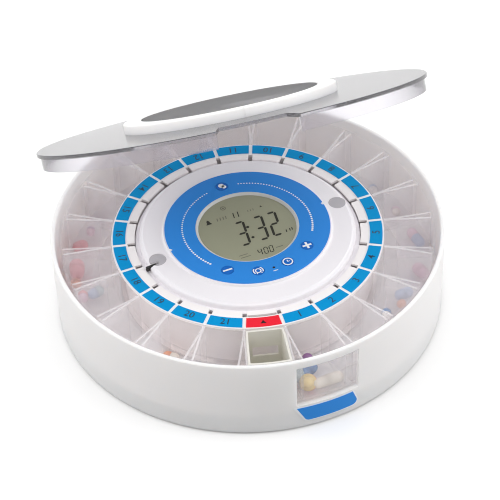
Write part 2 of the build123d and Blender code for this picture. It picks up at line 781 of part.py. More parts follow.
# ---- circuit board and what it carries ----
with BuildPart() as main_board:
    with BuildSketch(Plane.XY.offset(board_bottom)):
        Circle(board_radius)
        with Locations(*[at(mount_ring, a) for a in mount_azimuths]):
            Circle(screw_radius + play, mode=Mode.SUBTRACT)
    extrude(amount=board_thickness)
main_board.part.label = "main_board"
export_step(main_board.part, "parts/main_board.step")

with BuildPart() as board_screws:
    add_screws([at(mount_ring, a) for a in mount_azimuths], board_bottom, -1, board_screw_length)
board_screws.part.label = "board_screws"
export_step(board_screws.part, "parts/board_screws.step")

key_bottom = board_top + 2.8
switch_height = key_bottom - board_top - key_travel - 0.2
with BuildPart() as key_switches:
    with BuildSketch(Plane.XY.offset(board_top)):
        with Locations(*[at(key_ring, dose_azimuth + a) for a in key_azimuths.values()]):
            Rectangle(switch_size, switch_size)
    extrude(amount=switch_height - 0.4)
    with BuildSketch(Plane.XY.offset(board_top)):
        with Locations(*[at(key_ring, dose_azimuth + a) for a in key_azimuths.values()]):
            Circle(switch_plunger)
    extrude(amount=switch_height)
key_switches.part.label = "key_switches"
export_step(key_switches.part, "parts/key_switches.step")

with BuildPart() as buzzer:
    with BuildSketch(Plane.XY.offset(board_bottom)):
        with Locations(buzzer_place):
            Circle(buzzer_radius)
    extrude(amount=-buzzer_height)
buzzer.part.label = "buzzer"
export_step(buzzer.part, "parts/buzzer.step")

# The sensor's arm lies in a slot of the housing and reads the notches of the tray.
sensor_tip = flange_bore - 0.6
with BuildPart() as index_sensor:
    with BuildSketch(Plane.XY.offset(board_top)):
        with Locations(Location((*at(board_radius - 4.0, sensor_azimuth), 0), heading(sensor_azimuth))):
            Rectangle(*sensor_size[:2])
    extrude(amount=sensor_size[2])
    for inner, height in ((board_radius - 2.0, 1.2), (slot_start + 1.5, 2.6)):
        with BuildSketch(Plane.XY.offset(board_top)):
            with Locations(Location((*at(sensor_tip, sensor_azimuth), 0), heading(sensor_azimuth))):
                Rectangle(sensor_tip - inner, slot_width - 0.6, align=(Align.MAX, Align.CENTER))
        extrude(amount=height)
index_sensor.part.label = "index_sensor"
export_step(index_sensor.part, "parts/index_sensor.step")

# ---- five keys, each with a flange under the panel that keeps it in ----
for name, azimuth in key_azimuths.items():
    with BuildPart() as key:
        with BuildSketch(Plane((*at(key_ring, dose_azimuth + azimuth), key_bottom))):
            Circle(key_radius)
        extrude(amount=panel_top + 0.1 - key_bottom)
        with BuildSketch(Plane((*at(key_ring, dose_azimuth + azimuth), key_bottom))):
            Circle(key_radius + 0.9)
        extrude(amount=plateau_height - housing_wall - 0.3 - key_bottom)
    key.part.label = name
    export_step(key.part, f"parts/{name}.step")

# ---- tray: carrier with ring gear, clear trough, dividers, number labels, home cup ----
home_azimuth = dose_azimuth - pitch
lip_radius = skirt_radius + 2.5
lip_height = 1.0
with BuildPart() as tray_carrier:
    with BuildSketch(Plane.XZ):
        with BuildLine():
            Polyline(
                (skirt_radius - skirt_wall, tray_floor - lip_height),
                (lip_radius, tray_floor - lip_height),
                (lip_radius, tray_floor),
                (skirt_radius, tray_floor),
                (skirt_radius, flange_bottom),
                (flange_radius, flange_bottom),
                (flange_radius, carrier_top),
                (flange_bore, carrier_top),
                (flange_bore, flange_bottom),
                (skirt_radius - skirt_wall, flange_bottom),
                close=True,
            )
        make_face()
    revolve(axis=Axis.Z)
    with BuildSketch(Plane.XY.offset(gear_bottom)):
        Circle(skirt_radius - snug)
        with BuildLine():
            Polyline(*tooth_points(ring_teeth, ring_module, 180.0 + 180.0 / ring_teeth, -1), close=True)
        make_face(mode=Mode.SUBTRACT)
    extrude(amount=gear_width)
    with BuildSketch(Plane.XY.offset(flange_bottom)):
        with PolarLocations(flange_bore, compartments, start_angle=heading(dose_azimuth + pitch / 2)):
            Rectangle(2 * notch_depth, notch_width)
    extrude(amount=flange_thickness, mode=Mode.SUBTRACT)
    with BuildSketch(radial_plane(home_azimuth - 0.42 * pitch)):
        with Locations((label_inner - 1.0, carrier_top)):
            Rectangle(1.6, 2 * flange_thickness + 1.0, align=(Align.MAX, Align.CENTER))
    revolve(axis=Axis.Z, revolution_arc=0.84 * pitch, mode=Mode.SUBTRACT)
tray_carrier.part.label = "tray_carrier"
export_step(tray_carrier.part, "parts/tray_carrier.step")

trough_bore = skirt_radius + snug
with BuildPart() as tray_trough:
    with BuildSketch(Plane.XZ):
        with BuildLine():
            Polyline(
                (trough_bore, tray_floor),
                (tray_radius - 0.6, tray_floor),
                (tray_radius, tray_floor + 0.6),
                (tray_radius, carrier_top),
                (tray_radius - tray_wall, carrier_top),
                (tray_radius - tray_wall, pocket_floor),
                (pocket_radius, pocket_floor),
                (pocket_radius, flange_bottom),
                (pocket_radius - tray_wall, flange_bottom),
                (pocket_radius - tray_wall, pocket_floor),
                (trough_bore, pocket_floor),
                close=True,
            )
        make_face()
    revolve(axis=Axis.Z)
tray_trough.part.label = "tray_trough"
export_step(tray_trough.part, "parts/tray_trough.step")

# Each divider is one wall near the hub, which parts into the walls of its two pockets.
divider_inner = pocket_radius + snug
divider_outer = tray_radius - tray_wall - snug
half_root = divider_root / 2
half_spread = divider_spread / 2
divider_plan = [
    (divider_inner - 2, -half_root),
    (divider_split, -half_root),
    (divider_outer + 1, -half_spread),
    (divider_outer + 1, half_spread),
    (divider_split, half_root),
    (divider_inner - 2, half_root),
]
gap_tip = divider_split + 2 * divider_wall
gap_plan = [
    (gap_tip, 0),
    (divider_outer + 1, divider_wall - half_spread),
    (divider_outer + 1, half_spread - divider_wall),
]
with BuildPart() as tray_dividers:
    with BuildSketch(Plane.XY.offset(pocket_floor)):
        with PolarLocations(0, compartments, start_angle=heading(dose_azimuth + pitch / 2)):
            Polygon(*divider_plan, align=None)
            Polygon(*gap_plan, align=None, mode=Mode.SUBTRACT)
        Circle(divider_outer, mode=Mode.INTERSECT)
        Circle(divider_inner, mode=Mode.SUBTRACT)
    extrude(amount=divider_top - pocket_floor)
tray_dividers.part.label = "tray_dividers"
export_step(tray_dividers.part, "parts/tray_dividers.step")

wedge_reach = 1.2 * label_outer
home_wedge = [(0, 0), at(wedge_reach, home_azimuth - pitch / 2), at(wedge_reach, home_azimuth + pitch / 2)]


def label_ring():
    """Ring of labels on the flange, parted at the dividers."""
    Circle(label_outer)
    Circle(label_inner, mode=Mode.SUBTRACT)
    with PolarLocations(label_outer, compartments, start_angle=heading(dose_azimuth + pitch / 2)):
        Rectangle(4 * (label_outer - label_inner), label_gap, mode=Mode.SUBTRACT)


with BuildPart() as number_labels:
    with BuildSketch(Plane.XY.offset(carrier_top)):
        label_ring()
        Polygon(*home_wedge, align=None, mode=Mode.SUBTRACT)
    extrude(amount=label_thickness)
number_labels.part.label = "number_labels"
export_step(number_labels.part, "parts/number_labels.step")

with BuildPart() as home_label:
    with BuildSketch(Plane.XY.offset(carrier_top)):
        label_ring()
        Polygon(*home_wedge, align=None, mode=Mode.INTERSECT)
    extrude(amount=label_thickness)
home_label.part.label = "home_label"
export_step(home_label.part, "parts/home_label.step")

cup_play = 0.25
cup_wall = 1.2
cup_inner = pocket_radius + cup_play
cup_outer = tray_radius - tray_wall - cup_play
slope = (half_spread - half_root) / (divider_outer + 1 - divider_split)


def cup_half(radius):
    """Half width of the home cup at a radius: the sector less half a divider and the play."""
    divider_half = half_root + max(0.0, radius - divider_split) * slope
    return radius * tan(radians(pitch / 2)) - divider_half / cos(radians(pitch / 2)) - cup_play


def cup_plan(inset):
    """Plan of the home cup, drawn along +X, with its walls moved in by inset."""
    radii = (cup_inner + inset, divider_split, cup_outer - inset)
    right = [(radius, cup_half(radius) - inset) for radius in radii]
    left = [(radius, inset - cup_half(radius)) for radius in reversed(radii)]
    return right + left


home_floor = pocket_floor + cup_play
home_plane = Plane(
    origin=(0, 0, home_floor),
    x_dir=(*at(1, home_azimuth), 0),
    z_dir=(0, 0, 1),
)
slot_size = (14.0, 6.8)
slot_bottom = 29.0
with BuildPart() as home_cup:
    with BuildSketch(home_plane):
        Polygon(*cup_plan(0), align=None)
        Circle(cup_outer, mode=Mode.INTERSECT)
        Circle(cup_inner, mode=Mode.SUBTRACT)
    extrude(amount=divider_top - home_floor)
    with BuildSketch(home_plane.offset(cup_wall)):
        Polygon(*cup_plan(cup_wall), align=None)
        Circle(cup_outer - cup_wall, mode=Mode.INTERSECT)
        Circle(cup_inner + cup_wall, mode=Mode.SUBTRACT)
    extrude(amount=divider_top - home_floor, mode=Mode.SUBTRACT)
    with BuildSketch(home_plane.offset(slot_bottom - home_floor)):
        with Locations((cup_inner, 0)):
            Rectangle(4 * cup_wall, slot_size[0])
    extrude(amount=slot_size[1], mode=Mode.SUBTRACT)
home_cup.part.label = "home_cup"
export_step(home_cup.part, "parts/home_cup.step")

# ---- lid: clear plate with a hanging skirt, a dispensing notch and the hinge barrel ----
plate_back = ear_inner - 0.6
ear_span = 2 * hinge_half + 6.0
arm_root = 4.0
spout_arc = spout_end - spout_start
with BuildPart() as lid_shell:
    with BuildSketch(radial_plane(90.0, lid_frame)):
        with BuildLine():
            Polyline(
                (lid_bore, lid_bottom),
                (lid_skirt_radius - lid_skirt_wall, lid_bottom),
                (lid_skirt_radius - lid_skirt_wall, lid_bottom - lid_skirt_depth),
                (lid_skirt_radius, lid_bottom - lid_skirt_depth),
                (lid_skirt_radius, lid_bottom),
                (lid_radius, lid_bottom),
                (lid_radius, lid_top - 0.4),
                (lid_radius - 0.4, lid_top),
                (lid_bore, lid_top),
                close=True,
            )
        make_face()
    revolve(axis=lid_axis)
    with BuildSketch(radial_plane(spout_start, lid_frame)):
        with Locations((spout_radius, lid_bottom - 2 * lid_skirt_depth)):
            Rectangle(lid_radius, 4 * lid_skirt_depth, align=(Align.MIN, Align.MIN))
    revolve(axis=lid_axis, revolution_arc=spout_arc, mode=Mode.SUBTRACT)
    with BuildSketch(radial_plane(180.0 - hinge_clear_angle, lid_frame)):
        with Locations((lid_skirt_radius + 1.0, lid_bottom)):
            Rectangle(6.0, 2 * lid_skirt_depth, align=(Align.MAX, Align.MAX))
    revolve(axis=lid_axis, revolution_arc=2 * hinge_clear_angle, mode=Mode.SUBTRACT)
    with BuildSketch(lid_frame.offset(lid_bottom - 1.0)):
        with Locations((0, plate_back)):
            Rectangle(ear_span, 20.0, align=(Align.CENTER, Align.MIN))
    extrude(amount=2 * lid_thickness, mode=Mode.SUBTRACT)
    with BuildSketch(lid_side.offset(-barrel_half)):
        with Locations((hinge_y, hinge_z)):
            Circle(barrel_radius)
        with Locations((plate_back, lid_bottom)):
            Rectangle(arm_root, lid_thickness, align=(Align.MAX, Align.MIN))
        make_hull()
        with Locations((hinge_y, hinge_z)):
            Circle(pin_radius + running, mode=Mode.SUBTRACT)
    extrude(amount=2 * barrel_half)
lid_shell.part.label = "lid_shell"
export_step(lid_shell.part, "parts/lid_shell.step")

seam_azimuth = (spout_start + spout_end) / 2
with BuildPart() as lid_drum:
    with BuildSketch(radial_plane(90.0, lid_frame)):
        with BuildLine():
            Polyline(
                (drum_radius - drum_wall, lid_top),
                (drum_radius, lid_top),
                (drum_radius, drum_top - 0.6),
                (drum_radius - 0.6, drum_top),
                (lens_radius + snug, drum_top),
                (lens_radius + snug, drum_top - lens_thickness),
                (lens_radius - 1.2, drum_top - lens_thickness),
                (lens_radius - 1.2, drum_top - lens_thickness - 1.0),
                (drum_radius - drum_wall, drum_top - lens_thickness - 1.0),
                close=True,
            )
        make_face()
    revolve(axis=lid_axis)
    with BuildSketch(radial_plane(seam_azimuth, lid_frame)):
        with Locations((drum_radius, lid_top)):
            Rectangle(0.6, drum_height + 1.0, align=(Align.MAX, Align.MIN))
    extrude(amount=0.4, both=True, mode=Mode.SUBTRACT)
lid_drum.part.label = "lid_drum"
export_step(lid_drum.part, "parts/lid_drum.step")

with BuildPart() as lid_lens:
    with BuildSketch(lid_frame.offset(drum_top - lens_thickness)):
        Circle(lens_radius)
    extrude(amount=lens_thickness)
    chamfer(edges().filter_by(GeomType.CIRCLE).group_by(Axis(lid_frame.origin, lid_frame.z_dir))[-1], 0.3)
lid_lens.part.label = "lid_lens"
export_step(lid_lens.part, "parts/lid_lens.step")

with BuildPart() as hinge_pin:
    with BuildSketch(Plane.YZ.offset(-hinge_half)):
        with Locations((hinge_y, hinge_z)):
            Circle(pin_radius)
    extrude(amount=2 * hinge_half)
hinge_pin.part.label = "hinge_pin"
export_step(hinge_pin.part, "parts/hinge_pin.step")
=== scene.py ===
import math

import bmesh
import bpy
from mathutils import Matrix, Vector


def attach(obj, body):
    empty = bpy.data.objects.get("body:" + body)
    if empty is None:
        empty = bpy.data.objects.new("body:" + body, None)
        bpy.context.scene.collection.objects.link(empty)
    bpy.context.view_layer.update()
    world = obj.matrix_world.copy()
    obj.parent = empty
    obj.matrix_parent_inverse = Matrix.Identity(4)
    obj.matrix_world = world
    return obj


MM = 0.001
COMPARTMENTS = 22
PITCH = 360.0 / COMPARTMENTS
DOSE = 5.2  # azimuth of pocket 1, the window and the display
PRINT_LIFT = 0.02  # printed marks lie this far over what they are printed on

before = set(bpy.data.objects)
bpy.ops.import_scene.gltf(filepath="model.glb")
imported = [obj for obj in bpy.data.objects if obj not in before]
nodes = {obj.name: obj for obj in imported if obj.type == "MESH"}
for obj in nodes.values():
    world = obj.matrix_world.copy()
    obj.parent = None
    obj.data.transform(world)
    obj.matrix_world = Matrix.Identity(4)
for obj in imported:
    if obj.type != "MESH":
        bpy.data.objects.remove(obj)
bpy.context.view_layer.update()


# ---- helpers: colour, materials, meshes ----
def linear(rgb, alpha=1.0):
    """An sRGB colour in 0..255 as a linear colour."""
    out = []
    for value in rgb:
        c = value / 255.0
        out.append(c / 12.92 if c <= 0.04045 else ((c + 0.055) / 1.055) ** 2.4)
    return (*out, alpha)


def material(name, rgb, rough=0.4, grain=0.0, scale=900.0, bump=0.0, **sockets):
    """Principled material. grain varies the colour a little, bump roughens the surface."""
    mat = bpy.data.materials.new(name)
    mat.use_nodes = True
    tree = mat.node_tree
    shader = tree.nodes["Principled BSDF"]
    shader.inputs["Base Color"].default_value = linear(rgb)
    shader.inputs["Roughness"].default_value = rough
    for key, value in sockets.items():
        shader.inputs[key.replace("_", " ")].default_value = value
    if grain or bump:
        coord = tree.nodes.new("ShaderNodeTexCoord")
        noise = tree.nodes.new("ShaderNodeTexNoise")
        noise.inputs["Scale"].default_value = scale
        noise.inputs["Detail"].default_value = 3.0
        tree.links.new(coord.outputs["Object"], noise.inputs["Vector"])
    if grain:
        mix = tree.nodes.new("ShaderNodeMix")
        mix.data_type = "RGBA"
        low = [max(0.0, v * (1.0 - grain)) for v in linear(rgb)[:3]]
        high = [min(1.0, v * (1.0 + grain)) for v in linear(rgb)[:3]]
        mix.inputs["A"].default_value = (*low, 1.0)
        mix.inputs["B"].default_value = (*high, 1.0)
        tree.links.new(noise.outputs["Fac"], mix.inputs["Factor"])
        tree.links.new(mix.outputs["Result"], shader.inputs["Base Color"])
    if bump:
        node = tree.nodes.new("ShaderNodeBump")
        node.inputs["Strength"].default_value = bump
        node.inputs["Distance"].default_value = 0.05 * MM
        tree.links.new(noise.outputs["Fac"], node.inputs["Height"])
        tree.links.new(node.outputs["Normal"], shader.inputs["Normal"])
    return mat


def dress(mat, *names):
    """Gives CAD nodes a material."""
    for name in names:
        data = nodes[name].data
        data.materials.clear()
        data.materials.append(mat)


def ring_point(radius, azimuth, height):
    """Point in the row frame. Azimuths start at the front and grow towards +X."""
    a = math.radians(azimuth - 90.0)
    return Vector((radius * math.cos(a), radius * math.sin(a), height)) * MM


def disc_frame(azimuth, height, radius=0.0):
    """Frame on a level surface, turned so that its -Y points outward at the azimuth."""
    turn = Matrix.Rotation(math.radians(azimuth), 4, "Z")
    return Matrix.Translation(ring_point(radius, azimuth, height)) @ turn


def mesh_object(name, outlines, place, mat, body, thickness=0.0):
    """Flat shapes in mm, each a list of points, as one mesh riding on a CAD body."""
    bm = bmesh.new()
    for outline in outlines:
        face = bm.faces.new([bm.verts.new((x * MM, y * MM, 0.0)) for x, y in outline])
        if face.normal.z < 0:
            face.normal_flip()
    bm.normal_update()
    for face in list(bm.faces):
        if face.normal.z < 0:
            face.normal_flip()
    if thickness:
        grown = bmesh.ops.extrude_face_region(bm, geom=list(bm.faces))
        moved = [v for v in grown["geom"] if isinstance(v, bmesh.types.BMVert)]
        bmesh.ops.translate(bm, verts=moved, vec=(0, 0, thickness * MM))
        bmesh.ops.recalc_face_normals(bm, faces=list(bm.faces))
    data = bpy.data.meshes.new(name)
    bm.to_mesh(data)
    bm.free()
    data.transform(place)
    data.materials.append(mat)
    obj = bpy.data.objects.new(name, data)
    bpy.context.collection.objects.link(obj)
    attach(obj, body)
    return obj


def disc(cx, cy, radius, count=24):
    """A round spot as a polygon."""
    angles = [2 * math.pi * i / count for i in range(count)]
    return [(cx + radius * math.cos(a), cy + radius * math.sin(a)) for a in angles]


def bar(x0, y0, x1, y1, width):
    """A straight stroke as four corners."""
    dx, dy = x1 - x0, y1 - y0
    length = math.hypot(dx, dy)
    nx, ny = -dy / length * width / 2, dx / length * width / 2
    return [(x0 + nx, y0 + ny), (x0 - nx, y0 - ny), (x1 - nx, y1 - ny), (x1 + nx, y1 + ny)]


def arc_strokes(cx, cy, radius, start, end, width, steps=10):
    """A curved stroke as quads. Angles in degrees from +X."""
    shapes = []
    for i in range(steps):
        a, b = (math.radians(start + (end - start) * (i + s) / steps) for s in (0, 1))
        inner, outer = radius - width / 2, radius + width / 2
        shapes.append([
            (cx + inner * math.cos(a), cy + inner * math.sin(a)),
            (cx + outer * math.cos(a), cy + outer * math.sin(a)),
            (cx + outer * math.cos(b), cy + outer * math.sin(b)),
            (cx + inner * math.cos(b), cy + inner * math.sin(b)),
        ])
    return shapes


# ---- materials of the CAD nodes ----
MILKY = {"Subsurface_Weight": 1.0, "Subsurface_Radius": (1.0, 0.95, 0.9)}
tub_white = material("tub_white", (242, 240, 239), 0.32, bump=0.05,
                     Subsurface_Scale=0.004, Specular_IOR_Level=0.08, **MILKY)
housing_white = material("housing_white", (246, 243, 246), 0.3, bump=0.05)
carrier_white = material("carrier_white", (250, 246, 245), 0.35, bump=0.05)
drum_white = material("drum_white", (238, 236, 234), 0.3, bump=0.04,
                      Subsurface_Scale=0.005, **MILKY)
clear = material("clear", (250, 250, 253), 0.04, Alpha=0.05)
lid_clear = material("lid_clear", (240, 238, 243), 0.12, Transmission_Weight=0.94, IOR=1.2)
divider_clear = material("divider_clear", (251, 249, 251), 0.2, Alpha=0.18)
trough_clear = material("trough_clear", (250, 247, 249), 0.2, Alpha=0.1)
smoked = material("smoked", (44, 43, 46), 0.3, Alpha=0.58, Specular_IOR_Level=0.04)
home_grey = material("home_grey", (226, 224, 216), 0.45, bump=0.1)
ring_blue = material("ring_blue", (0, 146, 208), 0.6, Specular_IOR_Level=0.1)
panel_blue = material("panel_blue", (48, 140, 226), 0.5, Specular_IOR_Level=0.2)
key_blue = material("key_blue", (26, 106, 196), 0.5, Specular_IOR_Level=0.2)
home_red = material("home_red", (236, 34, 54), 0.6, Specular_IOR_Level=0.2)
# Greyer than the housing white: painted shade of the sunken slope round the display.
bezel = material("bezel", (214, 216, 214), 0.3)
lcd = material("lcd", (160, 161, 138), 0.3, Specular_IOR_Level=0.2)
cap_grey = material("cap_grey", (186, 183, 187), 0.4)
dark = material("dark", (38, 36, 36), 0.5)
board = material("board", (20, 88, 50), 0.4)
rubber = material("rubber", (52, 52, 54), 0.8, bump=0.2)
steel = material("steel", (196, 196, 198), 0.28, Metallic=1.0)
nylon = material("nylon", (228, 224, 212), 0.5)
cell_wrap = material("cell_wrap", (66, 70, 76), 0.35)

POCKET_WALL_TOP = 47.3  # the top edges of the dividers start here
TOP_EDGE_BLEND = 0.0001  # metres over which the edge comes in
SLANT_START, SLANT_END = 0.35, 0.85  # Facing values between which the lid darkens


def edge_lit(mat, height, opacity):
    """Makes a clear material show more above a height in mm, as light does in a top edge."""
    links = mat.node_tree.links
    shader = mat.node_tree.nodes["Principled BSDF"]
    place = mat.node_tree.nodes.new("ShaderNodeNewGeometry")
    split = mat.node_tree.nodes.new("ShaderNodeSeparateXYZ")
    ramp = mat.node_tree.nodes.new("ShaderNodeMapRange")
    for key, value in (("From Min", height * MM), ("From Max", height * MM + TOP_EDGE_BLEND),
                       ("To Min", shader.inputs["Alpha"].default_value), ("To Max", opacity)):
        ramp.inputs[key].default_value = value
    links.new(place.outputs["Position"], split.inputs[0])
    links.new(split.outputs["Z"], ramp.inputs["Value"])
    links.new(ramp.outputs["Result"], shader.inputs["Alpha"])


def deeper_when_slanted(mat, shade_colour):
    """Darkens a clear plate towards its slanting views: painted dark reflection, and partly the
    longer way through it.
    """
    tree = mat.node_tree
    shader = tree.nodes["Principled BSDF"]
    slant = tree.nodes.new("ShaderNodeLayerWeight")
    shade_amount = tree.nodes.new("ShaderNodeMapRange")
    shade_amount.inputs["From Min"].default_value = SLANT_START
    shade_amount.inputs["From Max"].default_value = SLANT_END
    mix = tree.nodes.new("ShaderNodeMix")
    mix.data_type = "RGBA"
    mix.inputs["A"].default_value = shader.inputs["Base Color"].default_value[:]
    mix.inputs["B"].default_value = linear(shade_colour)
    tree.links.new(slant.outputs["Facing"], shade_amount.inputs["Value"])
    tree.links.new(shade_amount.outputs["Result"], mix.inputs["Factor"])
    tree.links.new(mix.outputs["Result"], shader.inputs["Base Color"])


edge_lit(divider_clear, POCKET_WALL_TOP, 0.4)
# Painted dark reflection on the lid's slanting views, partly also the longer way through the
# plate.
deeper_when_slanted(lid_clear, (82, 79, 83))

dress(tub_white, "base_tub", "bottom_cover", "battery_door")
dress(housing_white, "control_housing")
dress(carrier_white, "tray_carrier")
dress(drum_white, "lid_drum")
dress(clear, "wall_window")

dress(lid_clear, "lid_shell")
dress(trough_clear, "tray_trough")
dress(divider_clear, "tray_dividers")
dress(smoked, "lid_lens")
dress(home_grey, "home_cup")
dress(ring_blue, "number_labels")
dress(panel_blue, "panel_overlay", "window_badge")
dress(key_blue, "key_minus", "key_alarm", "key_clock", "key_plus", "key_mode")
dress(home_red, "home_label")
dress(bezel, "display_bezel")
dress(lcd, "display_glass")
dress(cap_grey, "dimple_caps")
dress(dark, "index_sensor", "buzzer", "key_switches", "display_module", "gear_chassis")
dress(board, "main_board")
dress(rubber, "rubber_feet")
dress(steel, "cover_screws", "door_screw", "motor_screws", "housing_screws", "board_screws",
      "hinge_pin", "gear_posts", "motor_shaft", "battery_contacts", "motor")
dress(nylon, "drive_gear", "step_gear", "motor_pinion")
dress(cell_wrap, "battery_cells")

ink = material("ink", (28, 62, 84), 0.5)
black_ink = material("black_ink", (40, 18, 20), 0.5)
white_ink = material("white_ink", (246, 248, 250), 0.45)
segment_ink = material("segment_ink", (38, 36, 28), 0.5)
faint_ink = material("faint_ink", (112, 112, 98), 0.5)

# ---- numbers on the ring, plain digits that read from outside ----
LABEL_TOP = 48.15
LABEL_MIDDLE = 71.9  # radius at the middle of the labels
DIGIT_SIZE = 6.0
DIGIT_WEIGHT = 0.05  # outline grown by this much
numbers = []
for k in range(1, COMPARTMENTS):
    curve = bpy.data.curves.new(f"number_{k}", "FONT")
    curve.body = str(k)
    curve.size = DIGIT_SIZE * MM
    curve.align_x = "CENTER"
    curve.align_y = "CENTER"
    curve.offset = DIGIT_WEIGHT * MM
    curve.resolution_u = 3
    text = bpy.data.objects.new(f"number_{k}", curve)
    bpy.context.collection.objects.link(text)
    text.matrix_world = disc_frame(DOSE + PITCH * (k - 1), LABEL_TOP + PRINT_LIFT, LABEL_MIDDLE)
    numbers.append(text)
bpy.context.view_layer.update()
joined = bmesh.new()
for text in numbers:
    data = bpy.data.meshes.new_from_object(text)
    data.transform(text.matrix_world)
    joined.from_mesh(data)
    bpy.data.objects.remove(text)
number_mesh = bpy.data.meshes.new("ring_numbers")
joined.to_mesh(number_mesh)
joined.free()
number_mesh.materials.append(ink)
ring_numbers = bpy.data.objects.new("ring_numbers", number_mesh)
bpy.context.collection.objects.link(ring_numbers)
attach(ring_numbers, "tray")

mesh_object("home_mark", [[(-1.7, -1.2), (1.7, -1.2), (0.5, 0.4), (0.0, 1.6), (-0.5, 0.4)]],
            disc_frame(DOSE - PITCH, LABEL_TOP + PRINT_LIFT, LABEL_MIDDLE), black_ink, "tray")

# ---- display: seven-segment digits ----
SLANT = 0.17
SEGMENTS = {
    "0": "abcdef", "1": "bc", "2": "abged", "3": "abgcd", "4": "fgbc",
}


def digit(char, x, y, width, height, stroke):
    """Segments of one digit whose lower left corner is x, y."""
    half = height / 2
    gap = stroke * 0.16
    ends = {
        "a": ((0, height), (width, height)), "g": ((0, half), (width, half)),
        "d": ((0, 0), (width, 0)),
        "f": ((0, half), (0, height)), "b": ((width, half), (width, height)),
        "e": ((0, 0), (0, half)), "c": ((width, 0), (width, half)),
    }
    shapes = []
    for segment in SEGMENTS[char]:
        (x0, y0), (x1, y1) = ends[segment]
        h = stroke / 2
        if y0 == y1:
            x0, x1 = x0 + gap, x1 - gap
            points = [(x0, y0), (x0 + h, y0 - h), (x1 - h, y0 - h),
                      (x1, y0), (x1 - h, y0 + h), (x0 + h, y0 + h)]
        else:
            y0, y1 = y0 + gap, y1 - gap
            points = [(x0, y0), (x0 + h, y0 + h), (x0 + h, y1 - h),
                      (x0, y1), (x0 - h, y1 - h), (x0 - h, y0 + h)]
        shapes.append([(x + px + SLANT * py, y + py) for px, py in points])
    return shapes


GLASS_TOP = 51.8
display = disc_frame(DOSE, GLASS_TOP + PRINT_LIFT)
shapes = []
for char, x in (("3", -8.1), ("3", 3.0), ("2", 11.2)):
    shapes += digit(char, x, -12.4, 4.6, 18.4, 1.45)
shapes += [disc(0.4, 0.5, 0.9), disc(-0.2, -8.5, 0.9)]
for char, x in (("4", -2.8), ("0", 0.7), ("0", 3.9)):
    shapes += digit(char, x, -23.8, 2.0, 4.9, 0.55)
for x in (-3.4, -0.7):
    shapes.append(bar(x, 10.5, x + 0.8, 14.8, 0.6))
bell = [(-20.0, 11.2), (-16.4, 11.2), (-17.2, 12.6), (-17.4, 14.0),
        (-18.2, 15.0), (-19.0, 14.0), (-19.2, 12.6)]
arrow = [(13.0, 12.6), (13.8, 14.4), (14.6, 12.6), (13.8, 13.1)]
shapes += [bell, arrow]
for x, y in ((18.6, -12.4), (20.8, -12.2), (22.2, -12.0)):
    shapes.append(bar(x, y, x + 0.4, y + 2.0, 0.6))
mesh_object("display_digits", shapes, display, segment_ink, "base")

shapes = []
for x in (-13.0, -11.2, -9.4, -7.8):
    shapes.append(bar(x, 11.8, x + 0.5, 14.2, 0.55))
for x in (5.6, 7.2, 8.8):
    shapes.append(bar(x, 12.0, x + 0.3, 13.6, 0.4))
shapes += arc_strokes(-6.1, 20.7, 1.4, 0, 360, 0.5, 14)
shapes.append(disc(-6.1, 20.7, 0.6, 12))
shapes += [bar(-13.3, -19.6, -8.2, -19.6, 0.5), bar(-13.0, -21.6, -7.2, -21.6, 0.5)]
shapes.append(bar(8.0, -21.6, 12.2, -21.6, 0.6))
mesh_object("display_marks", shapes, display, faint_ink, "base")

# ---- panel print ----
PANEL_TOP = 53.0
KEY_TOP = 53.1
KEY_RING = 37.0  # radius that the keys stand on
panel = disc_frame(DOSE, PANEL_TOP + PRINT_LIFT)
DOTS = 42  # in each of the two rows
DOT_RING = 36.4  # radius that they stand on
DOT_SMALL, DOT_LARGE = 0.42, 0.66
shapes = []
for start, end in ((-164.0, -57.0), (165.0, 60.0)):
    for i in range(DOTS):
        t = i / (DOTS - 1)
        angle = math.radians(start + (end - start) * t)
        size = DOT_SMALL + (DOT_LARGE - DOT_SMALL) * t * t
        shapes.append(disc(DOT_RING * math.sin(angle), -DOT_RING * math.cos(angle), size, 10))
shapes += [disc(-46.6, 0.0, 0.9, 16), disc(46.6, 0.0, 0.9, 16)]
shapes += [bar(-1.4, -39.6, 1.4, -39.6, 0.5)]
mesh_object("panel_dots", shapes, panel, white_ink, "base")
# A dark disc on the panel: painted shade standing in for the reset hole.
mesh_object("reset_hole_shade", [disc(0.0, -KEY_RING, 0.75)], panel, dark, "base")


def key_print(key, azimuth, shapes):
    """White mark on a key, drawn upright for a reader at the front of the display."""
    centre = ring_point(KEY_RING, DOSE + azimuth, KEY_TOP + PRINT_LIFT)
    place = Matrix.Translation(centre) @ Matrix.Rotation(math.radians(DOSE), 4, "Z")
    mesh_object(f"{key}_mark", shapes, place, white_ink, f"{key}_body")


key_print("key_minus", -40.0, [bar(-2.7, 0.0, 2.7, 0.0, 1.1)])
key_print("key_plus", 40.0, [bar(-2.6, 0, 2.6, 0, 1.3), bar(0, 0.65, 0, 2.6, 1.3),
                             bar(0, -2.6, 0, -0.65, 1.3)])
key_print("key_clock", 13.8, arc_strokes(0, 0, 2.6, 0, 360, 0.7, 28)
          + [bar(0, -0.1, 0, 1.4, 0.5), bar(0.2, 0, 1.2, 0, 0.5)])
key_print("key_alarm", -13.8, arc_strokes(0, 0, 1.5, 0, 360, 0.6, 20)
          + arc_strokes(0, 0, 2.7, 130, 215, 0.7, 8) + arc_strokes(0, 0, 2.7, -35, 50, 0.7, 8)
          + [bar(-1.6, -2.3, -1.0, -1.6, 0.6), bar(1.0, -1.6, 1.6, -2.3, 0.6)])
key_print("key_mode", 180.0, [disc(-0.1, 0.5, 1.7, 20), disc(1.0, -0.9, 1.4, 20)])

# ---- white edge of the badge, a thin film on the wall behind it ----
RIM_RADIUS, RIM_HEIGHT = 110.0, 52.0
WALL_LEAN = 1.1 / 51.0  # the wall's radius shrinks by this per mm downwards
FILM_LIFT = 0.1


